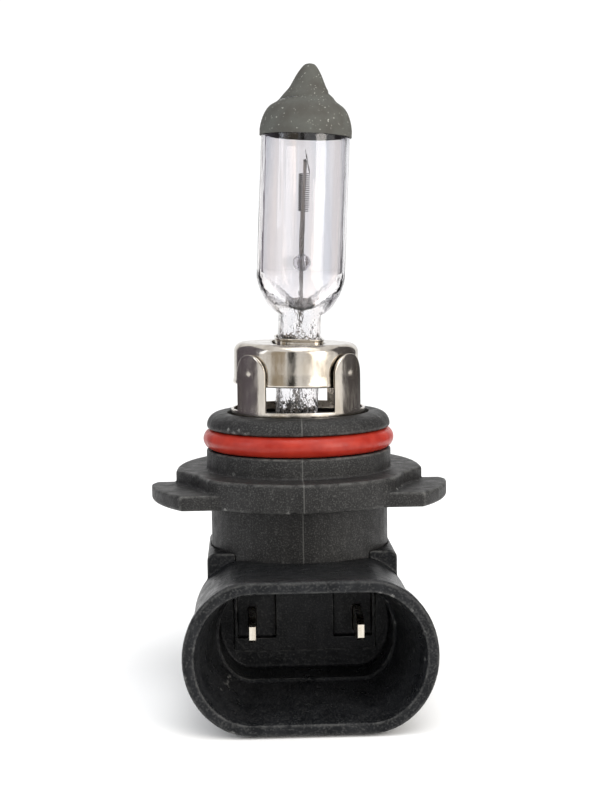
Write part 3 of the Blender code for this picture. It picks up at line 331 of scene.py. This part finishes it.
def remeshed(node, voxel, rounds):
    """A fine copy of a CAD node with softly rounded edges."""
    obj = bpy.data.objects.new(node + "_fine", frame["nodes"][node].data.copy())
    bpy.context.scene.collection.objects.link(obj)
    grid = obj.modifiers.new("grid", "REMESH")
    grid.mode = "VOXEL"
    grid.voxel_size = voxel
    grid.use_smooth_shade = True
    soft = obj.modifiers.new("soft", "SMOOTH")
    soft.iterations = rounds
    bpy.context.view_layer.update()
    drawn = obj.evaluated_get(bpy.context.evaluated_depsgraph_get())
    mesh = bpy.data.meshes.new_from_object(drawn)
    obj.modifiers.clear()
    obj.data = mesh
    mesh.shade_smooth()
    return stand_for(obj, node)


# ---------------------------------------------------------------- material helpers
def add_node(tree, kind, links=None, **settings):
    made = tree.nodes.new(kind)
    for key, value in settings.items():
        setattr(made, key, value)
    for key, value in (links or {}).items():
        if isinstance(value, bpy.types.NodeSocket):
            tree.links.new(value, made.inputs[key])
        else:
            made.inputs[key].default_value = value
    return made


def new_look(name, **values):
    material = bpy.data.materials.new(name)
    material.use_nodes = True
    shader = material.node_tree.nodes["Principled BSDF"]
    for key, value in values.items():
        shader.inputs[key.replace("_", " ")].default_value = value
    return material, material.node_tree, shader


def noise(tree, width_mm, detail=4.0, stretch=EVEN):
    """Noise whose blobs are about width_mm wide."""
    spot = add_node(tree, "ShaderNodeTexCoord").outputs["Object"]
    placed = add_node(tree, "ShaderNodeMapping", {"Vector": spot, "Scale": stretch})
    made = add_node(tree, "ShaderNodeTexNoise", {"Vector": placed.outputs["Vector"],
                                                 "Scale": PER_MM / width_mm, "Detail": detail})
    return made.outputs["Fac"]


def ramp(tree, value, low, high, to_low=0.0, to_high=1.0):
    made = add_node(tree, "ShaderNodeMapRange", {"Value": value, "From Min": low, "From Max": high,
                                                 "To Min": to_low, "To Max": to_high})
    return made.outputs["Result"]


def patches(tree, width_mm, detail, stretch, low, high, to_low, to_high):
    return ramp(tree, noise(tree, width_mm, detail, stretch), low, high, to_low, to_high)


def mixed(tree, share, first, second):
    """Colour between first and second, which are inputs 6 and 7 of the mix node."""
    made = add_node(tree, "ShaderNodeMix", {0: share}, data_type="RGBA")
    for index, value in ((6, first), (7, second)):
        if isinstance(value, bpy.types.NodeSocket):
            tree.links.new(value, made.inputs[index])
        else:
            made.inputs[index].default_value = (*value, 1.0)
    return made.outputs[2]


def times(tree, first, second):
    return add_node(tree, "ShaderNodeMath", {0: first, 1: second}, operation="MULTIPLY").outputs[0]


def bump(tree, shader, height, depth_mm, strength):
    made = add_node(tree, "ShaderNodeBump", {"Height": height, "Distance": depth_mm * MM,
                                             "Strength": strength})
    tree.links.new(made.outputs["Normal"], shader.inputs["Normal"])


def relief(tree, shader, width_mm, detail, depth_mm, strength):
    bump(tree, shader, noise(tree, width_mm, detail), depth_mm, strength)


def object_axis(tree, axis):
    spot = add_node(tree, "ShaderNodeTexCoord").outputs["Object"]
    return add_node(tree, "ShaderNodeSeparateXYZ", {0: spot}).outputs[axis]


def moulded(name, dark, light, pale_marks_and_highlight, rough, edge_wear_and_highlight, grain_mm=0.25, gloss=0.3, seam=0.0):
    """Moulded plastic: cloudy tone, pale specks, sharp edges lightened partly by wear and partly by a
    painted highlight, and a mould line in the middle.
    """
    material, tree, shader = new_look(name, Specular_IOR_Level=gloss)
    tone = mixed(tree, patches(tree, *PLASTIC_CLOUDS), dark, light)
    pale = tuple(STREAK_LIGHTER * part for part in light)
    tone = mixed(tree, patches(tree, *PLASTIC_STREAKS), tone, pale)
    specks = patches(tree, grain_mm, *PLASTIC_SPECKS)
    tone = mixed(tree, specks, tone, pale_marks_and_highlight)
    # Sharp edges turn pale: partly wear, partly a painted highlight standing in for the light the rims
    # catch
    edge = add_node(tree, "ShaderNodeNewGeometry").outputs["Pointiness"]
    worn_edge_and_highlight = times(tree, ramp(tree, edge, *EDGE_SHARPNESS), patches(tree, *PLASTIC_EDGE_WEAR_AND_HIGHLIGHT))
    tone = mixed(tree, times(tree, worn_edge_and_highlight, edge_wear_and_highlight), tone, pale_marks_and_highlight)
    side = object_axis(tree, "X")
    side = add_node(tree, "ShaderNodeMath", {0: side}, operation="ABSOLUTE").outputs[0]
    tone = mixed(tree, ramp(tree, side, *SEAM_HALF, seam, 0.0), tone, pale_marks_and_highlight)
    tree.links.new(tone, shader.inputs["Base Color"])
    dull = patches(tree, *PLASTIC_DULL, rough - ROUGHNESS_BELOW, rough + ROUGHNESS_ABOVE)
    tree.links.new(dull, shader.inputs["Roughness"])
    relief(tree, shader, grain_mm, *PLASTIC_RELIEF)
    return material


def sheet_metal(name, colour, stain, low_rough, high_rough):
    """Metal with drawn streaks, dull stains and a slightly uneven surface."""
    material, tree, shader = new_look(name, Metallic=1.0)
    stains = patches(tree, *METAL_STAINS)
    tree.links.new(mixed(tree, stains, colour, stain), shader.inputs["Base Color"])
    dull = patches(tree, *METAL_DULL, low_rough, high_rough)
    tree.links.new(dull, shader.inputs["Roughness"])
    relief(tree, shader, *METAL_RELIEF)
    return material


def glass_look():
    """Clear quartz with faint draw lines, rippled where it was pressed flat."""
    material, tree, shader = new_look("quartz_glass", Transmission_Weight=1.0, IOR=QUARTZ_IOR)
    tint = mixed(tree, patches(tree, *GLASS_BANDS), GLASS_BLUISH, GLASS_PINKISH)
    tree.links.new(tint, shader.inputs["Base Color"])
    height = object_axis(tree, "Z")
    pressed = ramp(tree, height, PINCH_TOP_Z + PRESSED_ABOVE, PINCH_TOP_Z - PRESSED_BELOW)
    lines = noise(tree, *DRAW_LINES)
    ripple = noise(tree, *RIPPLES)
    ripple = times(tree, ripple, ramp(tree, pressed, 0, 1, 0.0, PRESSED_RIPPLE))
    both = add_node(tree, "ShaderNodeMath", {0: lines, 1: ripple}, operation="ADD").outputs[0]
    tree.links.new(ramp(tree, pressed, 0, 1, 0.0, PRESSED_ROUGHNESS), shader.inputs["Roughness"])
    bump(tree, shader, both, *GLASS_RELIEF)
    return material


def coating_look():
    """Matt grey dip coat: fine grain, cloudy tone and a few pale specks."""
    material, tree, shader = new_look("grey_coating", Specular_IOR_Level=COAT_GLOSS)
    tone = mixed(tree, patches(tree, *COAT_CLOUDS), COAT_DARK, COAT_LIGHT)
    tone = mixed(tree, patches(tree, *COAT_SPECKS), tone, COAT_SPECK)
    tree.links.new(tone, shader.inputs["Base Color"])
    tree.links.new(patches(tree, *COAT_ROUGHNESS), shader.inputs["Roughness"])
    relief(tree, shader, *COAT_RELIEF)
    return material


def silicone_look():
    """Red silicone: glossy skin with dull patches and faint flow marks."""
    material, tree, shader = new_look("red_silicone", Specular_IOR_Level=SILICONE_GLOSS)
    tone = mixed(tree, patches(tree, *SILICONE_CLOUDS), SILICONE_DARK, SILICONE_LIGHT)
    tree.links.new(tone, shader.inputs["Base Color"])
    tree.links.new(patches(tree, *SILICONE_ROUGHNESS), shader.inputs["Roughness"])
    relief(tree, shader, *SILICONE_RELIEF)
    return material


# ---------------------------------------------------------------- places read from the CAD
TUBE_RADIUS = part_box("glass_envelope")[1].y
LEAN = turn_about(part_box("base_housing")[1].z + LEAN_ABOVE_BASE, LEAN_DEG)
TARGET = (0.0, 0.0, (CAD_BOX[0][2] + CAD_BOX[1][2]) / 2)


def upright_box(node, matrix=LEAN):
    """Box of a CAD node with its lean taken out."""
    back = matrix.inverted()
    points = [back @ vertex.co for vertex in frame["nodes"][node].data.vertices]
    return [Vector(pick(point[axis] for point in points) for axis in range(3)) for pick in (min, max)]


WELD_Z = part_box("holder_ring")[1].z - WELD_DROP
GLASS_LOW, GLASS_HIGH = upright_box("glass_envelope")
PINCH_TOP_Z = GLASS_LOW.z + PINCH_LENGTH
SHOULDER_Z = PINCH_TOP_Z + SHOULDER_HEIGHT
DOME_Z = SHOULDER_Z + TUBE_LENGTH
DOME_HEIGHT = GLASS_HIGH.z - DOME_Z
PINCH_HALF = (PINCH_HALF_THICKNESS, TUBE_RADIUS - PINCH_INSET)

LOOKS = {
    "quartz_glass": glass_look(),
    "grey_coating": coating_look(),
    "red_silicone": silicone_look(),
    "tungsten": sheet_metal("tungsten", (0.2, 0.19, 0.18), (0.09, 0.085, 0.08), 0.3, 0.5),
    "lead_wire": sheet_metal("lead_wire", (0.42, 0.4, 0.39), (0.2, 0.18, 0.17), 0.22, 0.42),
    "nickel_sheet": sheet_metal("nickel_sheet", (0.54, 0.5, 0.445), (0.33, 0.29, 0.24), 0.08, 0.27),
    "tinned_copper": sheet_metal("tinned_copper", (0.72, 0.68, 0.6), (0.45, 0.38, 0.3), 0.2, 0.42),
    "grey_plastic": moulded("grey_plastic", dark=(0.0085, 0.0083, 0.0085), light=(0.018, 0.0175, 0.0175),
                            pale_marks_and_highlight=(0.2, 0.2, 0.19), rough=0.5, edge_wear_and_highlight=0.75, grain_mm=0.17,
                            gloss=0.22, seam=0.3),
    "black_plastic": moulded("black_plastic", dark=(0.004, 0.0045, 0.0055), light=(0.012, 0.0125, 0.014),
                             pale_marks_and_highlight=(0.14, 0.14, 0.135), rough=0.34, edge_wear_and_highlight=0.8, grain_mm=0.2, gloss=0.12),
    "compound": moulded("compound", dark=(0.03, 0.03, 0.03), light=(0.06, 0.058, 0.055),
                        pale_marks_and_highlight=(0.2, 0.19, 0.18), rough=0.5, edge_wear_and_highlight=0.4),
}


# ---------------------------------------------------------------- burner
def shoulder_share(z, low, high):
    """How far a shoulder has opened at height z: 0 at low, 1 at high."""
    down = min(max((high - z) / (high - low), 0.0), 1.0)
    return (1 - down ** SHOULDER_FALL) ** SHOULDER_FULLNESS


def glass_loops():
    """Outer skin of the glass from the pinch's foot to the exhaust tip."""
    loops = []
    for row in range(PINCH_ROWS):
        z = GLASS_LOW.z + PINCH_LENGTH * row / PINCH_ROWS
        loops.append(oval(*PINCH_HALF, z, PINCH_POWER))
    for row in range(SHOULDER_ROWS):
        z = PINCH_TOP_Z + SHOULDER_HEIGHT * row / SHOULDER_ROWS
        share = shoulder_share(z, PINCH_TOP_Z, SHOULDER_Z)
        half = [small + (TUBE_RADIUS - small) * share for small in PINCH_HALF]
        loops.append(oval(*half, z, 2 + (PINCH_POWER - 2) * (1 - share)))
    outline = [(TUBE_RADIUS, SHOULDER_Z + TUBE_LENGTH * row / TUBE_ROWS) for row in range(TUBE_ROWS)]
    outline += [(across * TUBE_RADIUS, DOME_Z + up * DOME_HEIGHT) for across, up in DOME]
    return loops + [oval(radius, radius, z) for radius, z in smooth_outline(outline, GLASS_PARTS)]


def gas_space_loops():
    """Inner skin: narrow round floor, bore and domed top."""
    bore = TUBE_RADIUS - GLASS_WALL
    low = PINCH_TOP_Z + CAVITY_LIFT
    high = SHOULDER_Z + GLASS_WALL
    near_tip = [CAVITY_FLOOR_SHARE * half for half in CAVITY_FLOOR_HALF]
    loops = [oval(*CAVITY_TIP_HALF, low), oval(*near_tip, low + CAVITY_FLOOR_RISE)]
    for row in range(SHOULDER_ROWS + 1):
        z = low + (high - low) * row / SHOULDER_ROWS
        share = shoulder_share(z, low, high)
        half = [small + (bore - small) * share for small in CAVITY_FLOOR_HALF]
        loops.append(oval(*half, z + CAVITY_RISE, CAVITY_POWER - 2 * share))
    knots = [(bore, high + (DOME_Z - high) * row / BORE_ROWS) for row in range(1, BORE_ROWS)]
    knots += [(bore * math.cos(a), DOME_Z + CAVITY_DOME * math.sin(a))
              for a in map(math.radians, CAVITY_DOME_DEG)]
    return loops + [oval(radius, radius, z) for radius, z in smooth_outline(knots, GAS_PARTS)]


def make_glass():
    outer = glass_loops()
    inner = gas_space_loops()
    faces = skin(outer) + skin(inner, start=len(outer) * ROUND, flip=True)
    glass = mesh_object("glass_body", [LEAN @ point for point in flat(outer + inner)], faces)
    stand_for(glass, "glass_envelope")


def coat_point(angle, radius, z):
    """Point on the coat: the tip sways a little and one fold winds up round the dome."""
    up = (z - DOME_Z) / DOME_HEIGHT
    fold_up = FOLD_START + FOLD_CLIMB * ((angle / (2 * math.pi) + 0.5) % 1.0)
    folded = FOLD_REACH[0] < up < FOLD_REACH[1]
    fold = math.exp(-((up - fold_up) / FOLD_WIDTH) ** 2) * FOLD_DEPTH if folded else 0.0
    radius = max(radius - fold, COAT_LEAST_RADIUS)
    sway = TIP_SWAY * max(up, 0.0) ** 2
    return Vector((radius * math.cos(angle) + sway, radius * math.sin(angle), z))


def coat_loops(grow, low_z, top_z):
    """One side of the coat, grown outwards from the glass."""
    knots = [(TUBE_RADIUS + grow, low_z + (DOME_Z - low_z) * row / 3) for row in range(3)]
    for across, up in DOME:
        radius = (TUBE_RADIUS + grow) * across + grow * (1 - across) * COAT_THINNING
        knots.append((radius, DOME_Z + up * (top_z - DOME_Z)))
    knots[-1] = (COAT_TIP_RADIUS, top_z)
    return [[coat_point(angle, radius, z) for angle in turns(ROUND)]
            for radius, z in smooth_outline(knots, COAT_PARTS)]


def make_coating():
    low, high = upright_box("antiglare_coating")
    outer = coat_loops(COAT + COAT_GAP, low.z, high.z)
    inner = coat_loops(COAT_GAP, low.z, GLASS_HIGH.z + COAT_GAP)
    loops = outer + inner[::-1]
    points = [LEAN @ point for point in flat(loops)]
    stand_for(mesh_object("coating_cap", points, skin(loops, closed=True)), "antiglare_coating")


def make_filament():
    """Round wire wound into an axial coil, with a tail that rises from its top to the middle."""
    low, high = upright_box("filament_coil")
    radius = (high.y - low.y) / 2 - COIL_WIRE / 2
    tail = high.z - low.z - COIL_LENGTH
    bottom = low.z + 0.5 * COIL_WIRE
    centre_x = (low.x + high.x) / 2
    path = []
    for step in range(COIL_TURNS * COIL_STEPS + 1):
        angle = 2 * math.pi * step / COIL_STEPS
        z = bottom + COIL_LENGTH * step / (COIL_TURNS * COIL_STEPS)
        path.append(Vector((centre_x + radius * math.cos(angle), radius * math.sin(angle), z)))
    for step in range(1, TAIL_STEPS + 1):
        share = step / TAIL_STEPS
        path.append(Vector((centre_x + radius * (1 - share), 0, path[-1].z + tail * TAIL_RISE)))
    loops = tube_along(path, COIL_WIRE / 2, WIRE_SIDES)
    obj = mesh_object("filament_winding", [LEAN @ point for point in flat(loops)], skin(loops))
    stand_for(obj, "filament_coil")


# ---------------------------------------------------------------- metal holder
def can_profile(radius, offset, low_z, high_z):
    """(radius, z) up one side of the cup's sheet: lip, side and shoulder."""
    fillet = CAN_FILLET - offset
    side = radius - CAN_SIDE_INSET - offset
    centre_z = high_z - CAN_FILLET
    rows = [(radius + out - offset, low_z + up) for out, up in CAN_LIP]
    rows += [(side, z) for z in (low_z + CAN_SIDE[0], low_z + CAN_SIDE[1], centre_z)]
    for step in range(1, FILLET_STEPS + 1):
        angle = math.radians(90 / FILLET_STEPS * step)
        rows.append((side - fillet * (1 - math.cos(angle)), centre_z + fillet * math.sin(angle)))
    return rows


def make_can():
    """Thin cup with a rolled lower lip, a rounded shoulder and a slot for the burner."""
    low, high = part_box("burner_can")
    middle_x = (low.x + high.x) / 2
    tilt = turn_about((low.z + high.z) / 2, CAN_LEAN_DEG)
    flat_low, flat_high = upright_box("burner_can", tilt)
    radius = (flat_high.y - flat_low.y) / 2 - CAN_LIP_PROUD
    sides = []
    for offset in (0.0, CAN_WALL):
        rows = can_profile(radius, offset, flat_low.z, flat_high.z)
        loops = [oval(r, r, z, shift_x=middle_x) for r, z in rows]
        edge = loops[-1]
        slot = oval(*SLOT_HALF, flat_high.z - offset, SLOT_POWER)
        loops += [[edge[k].lerp(slot[k], share) for k in range(ROUND)] for share in CAN_TOP_SHARES]
        sides.append(loops)
    both = sides[0] + sides[1][::-1]
    obj = mesh_object("can_shell", [tilt @ point for point in flat(both)], skin(both, closed=True))
    stand_for(obj, "burner_can")


def off_centre(angle_deg, centre_deg):
    """Signed angle from a tab's middle, in degrees."""
    return (angle_deg - centre_deg + 180) % 360 - 180


def tab_fall(angle_deg, outer_radius):
    """How far a round-topped tab has fallen at an angle from the front; None between the tabs."""
    near = min(abs(off_centre(angle_deg, centre)) for centre in TAB_CENTRES_DEG)
    if near > TAB_HALF_DEG:
        return None
    inwards = math.radians(TAB_HALF_DEG - near) * outer_radius
    return TAB_ROUND - math.sqrt(max(0.0, TAB_ROUND ** 2 - max(TAB_ROUND - inwards, 0.0) ** 2))


def ring_columns(outer):
    """(angle, fall of the tab's top or None) once a degree, closer at the tabs' sides."""
    sides = [(centre + side * (TAB_HALF_DEG + extra)) % 360
             for side in (-1, 1) for extra in TAB_EXTRA_DEG for centre in TAB_CENTRES_DEG]
    angles = sorted(set([float(k) for k in range(360)] + sides))
    return [(angle, tab_fall(angle, outer)) for angle in angles]


def dimple(angle_deg, z):
    """Depth of the weld dimple in the middle of each tab."""
    depth = 0.0
    for centre in TAB_CENTRES_DEG:
        across = math.radians(off_centre(angle_deg, centre)) * WELD_ARM
        gap = math.hypot(across, z - WELD_Z)
        depth += WELD_DEPTH * math.exp(-(gap / WELD_RADIUS) ** 2)
    return depth


def make_ring():
    """Ring with a small foot, a low strip and four tabs, as one bent sheet."""
    low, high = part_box("holder_ring")
    foot = high.y
    outer = foot - RING_FOOT
    inner = outer - RING_WALL
    sheet_z = low.z + RING_SHEET_FROM
    sections = []
    for angle, fall in ring_columns(outer):
        top = low.z + STRIP_HEIGHT if fall is None else high.z - fall
        rise = top - RING_EDGE - sheet_z
        heights = [sheet_z + rise * k / SHEET_ROWS for k in range(SHEET_ROWS + 1)]
        profile = [(inner, low.z), (foot - RING_EDGE, low.z), (foot, low.z + RING_EDGE),
                   (foot, low.z + RING_FOOT_HEIGHT), (outer + RING_EDGE, low.z + RING_WALL)]
        profile += [(outer - dimple(angle, z), z) for z in heights]
        profile += [(outer - RING_EDGE, top), (inner + RING_EDGE, top)]
        profile += [(inner - dimple(angle, z), z) for z in reversed(heights)]
        a = math.radians(angle + FRONT_DEG)
        sections.append([Vector((r * math.cos(a), r * math.sin(a), z)) for r, z in profile])
    obj = mesh_object("holder_sheet", flat(sections), skin(sections, closed=True))
    stand_for(obj, "holder_ring")


def make_seal():
    low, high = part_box("seal_ring")
    middle_z = (low.z + high.z) / 2
    centre = high.y - SEAL_RADIUS
    loops = []
    for a in turns(SEAL_STEPS):
        ring = []
        for b in turns(SEAL_SIDES):
            radius = centre + SEAL_RADIUS * math.cos(b)
            z = middle_z + SEAL_RADIUS * math.sin(b)
            ring.append(Vector((radius * math.cos(a), radius * math.sin(a), z)))
        loops.append(ring)
    stand_for(mesh_object("seal_torus", flat(loops), skin(loops, closed=True)), "seal_ring")


# ---------------------------------------------------------------- light and camera
def make_camera():
    turn = math.radians(CAMERA_AZIMUTH_DEG)
    pitch = math.radians(CAMERA_PITCH_DEG)
    roll = math.radians(CAMERA_ROLL_DEG)
    right = Vector((math.cos(turn), math.sin(turn), 0))
    level = Vector((-math.sin(turn), math.cos(turn), 0))
    spot = right * CAMERA_SIDE - level * CAMERA_DISTANCE + Vector((0, 0, CAMERA_HEIGHT))
    forward = level * math.cos(pitch) - Vector((0, 0, math.sin(pitch)))
    up = right.cross(forward)
    across = right * math.cos(roll) + up * math.sin(roll)
    above = up * math.cos(roll) - right * math.sin(roll)
    data = bpy.data.cameras.new("camera")
    data.lens = CAMERA_LENS_MM
    data.sensor_width = CAMERA_SENSOR_MM
    data.clip_start = CAMERA_CLIP
    camera = bpy.data.objects.new("camera", data)
    bpy.context.scene.collection.objects.link(camera)
    basis = Matrix((across, above, -forward)).transposed().to_4x4()
    camera.matrix_world = Matrix.Translation(spot) @ basis
    bpy.context.scene.camera = camera


def aim(obj, spot):
    obj.location = spot
    obj.rotation_euler = (Vector(TARGET) - Vector(spot)).to_track_quat("-Z", "Y").to_euler()


def soft_light(name, spot, size, watts, colour):
    data = bpy.data.lights.new(name, "AREA")
    data.shape = "RECTANGLE"
    data.size = size[0]
    data.size_y = size[1]
    data.energy = watts
    data.color = colour
    obj = bpy.data.objects.new(name, data)
    bpy.context.scene.collection.objects.link(obj)
    aim(obj, spot)
    obj.visible_camera = False


def rectangle(name, half_x, half_y, z):
    points = [(-half_x, -half_y, z), (half_x, -half_y, z), (half_x, half_y, z), (-half_x, half_y, z)]
    return mesh_object(name, points, [(0, 1, 2, 3)])


def card(name, spot, size, colour):
    """Matt card out of the picture, which gives the metal and the glass something to mirror."""
    obj = rectangle(name, size[0] / 2, size[1] / 2, 0)
    material, tree, shader = new_look(name, Roughness=1.0)
    tone = mixed(tree, noise(tree, CARD_CLOUD_MM), tuple(CARD_SHADE * part for part in colour), colour)
    tree.links.new(tone, shader.inputs["Base Color"])
    obj.data.materials.append(material)
    aim(obj, spot)
    obj.visible_camera = False
    obj.visible_diffuse = False
    obj.visible_shadow = False


def make_floor():
    floor = rectangle("floor", FLOOR_HALF, FLOOR_HALF, -FLOOR_DROP)
    material, tree, shader = new_look("floor", Roughness=FLOOR_ROUGHNESS)
    tone = mixed(tree, noise(tree, FLOOR_CLOUD_MM), *FLOOR_TONES)
    tree.links.new(tone, shader.inputs["Base Color"])
    floor.data.materials.append(material)


def make_world():
    world = bpy.data.worlds.new("world")
    world.use_nodes = True
    background = world.node_tree.nodes["Background"]
    background.inputs["Color"].default_value = (1.0, 1.0, 1.0, 1.0)
    background.inputs["Strength"].default_value = WORLD_STRENGTH
    bpy.context.scene.world = world
    bpy.context.scene.view_settings.view_transform = "Standard"


def make_studio():
    for name, settings in LIGHTS.items():
        soft_light(name, *settings)
    for name, settings in CARDS.items():
        card(name, *settings)


make_glass()
make_coating()
make_filament()
make_can()
make_ring()
make_seal()
for node_name, (voxel_mm, smoothing) in FINE.items():
    remeshed(node_name, voxel_mm * MM, smoothing)
for node_name in KEPT:
    kept = frame["nodes"][node_name]
    kept.data.materials.clear()
    kept.data.materials.append(LOOKS[SLOTS[node_name]])
    kept.data.shade_smooth()

make_floor()
make_world()
make_studio()
make_camera()
